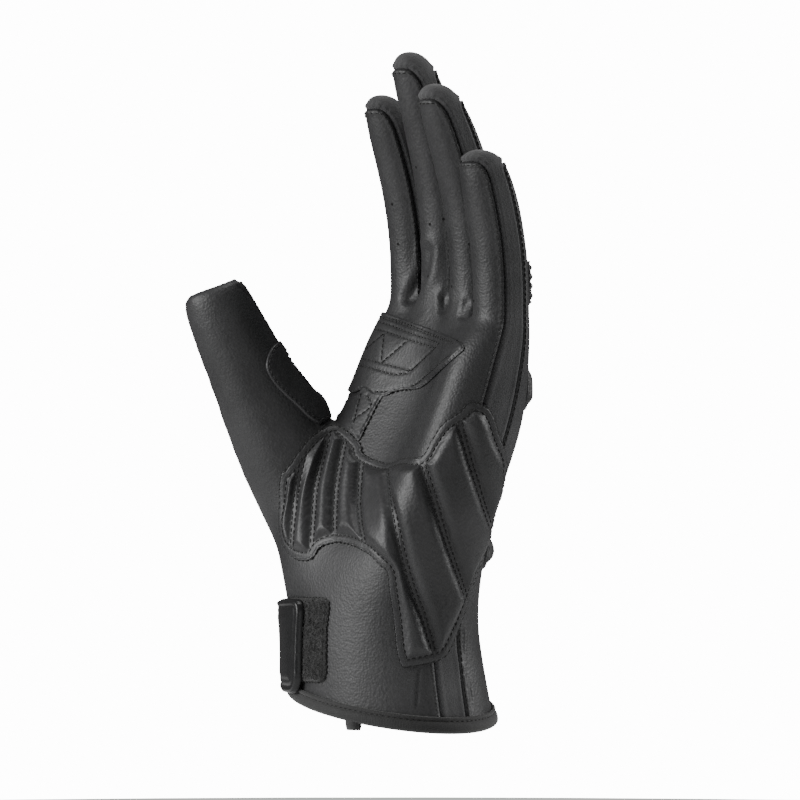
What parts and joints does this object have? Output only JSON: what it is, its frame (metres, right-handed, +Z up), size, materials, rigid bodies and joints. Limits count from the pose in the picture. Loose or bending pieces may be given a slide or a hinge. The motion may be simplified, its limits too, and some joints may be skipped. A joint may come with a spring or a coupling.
{
  "type": "motorcycle glove",
  "caption": "Left-hand short-cuff leather motorcycle glove with a quilted palm pad, boxed finger gussets and a wrist strap.",
  "frame": {"origin": "middle of the cuff's opening, where the wrist goes in", "axes": "+Z up along the hand towards the fingertips; the palm faces -Y and the back of the hand +Y; the thumb is on the -X side, the little finger on the +X side"},
  "size_m": [0.1134, 0.0919, 0.2448],
  "materials": {
    "goatskin": "matte, fine grain",
    "suede": "napped suede",
    "pad_leather": "matte, smooth",
    "loop_cloth": "fuzzy loop pile",
    "moulded_strap": "satin, moulded",
    "binding_tape": "folded tape"
  },
  "bodies": {
    "root": {"palm_panel": "goatskin", "back_panel": "goatskin", "gusset_index": "suede", "gusset_middle": "suede", "gusset_ring": "suede", "gusset_little": "suede", "cuff_binding": "binding_tape", "palm_pad": "pad_leather", "grip_patch": "pad_leather", "web_strap": "pad_leather", "thumb_patch": "pad_leather", "knuckle_pad": "pad_leather", "wrist_roll": "pad_leather", "flex_index": "goatskin", "flex_middle": "goatskin", "flex_ring": "goatskin", "flex_little": "goatskin", "loop_patch": "loop_cloth", "wrist_strap": "moulded_strap"}
  },
  "joints": []
}
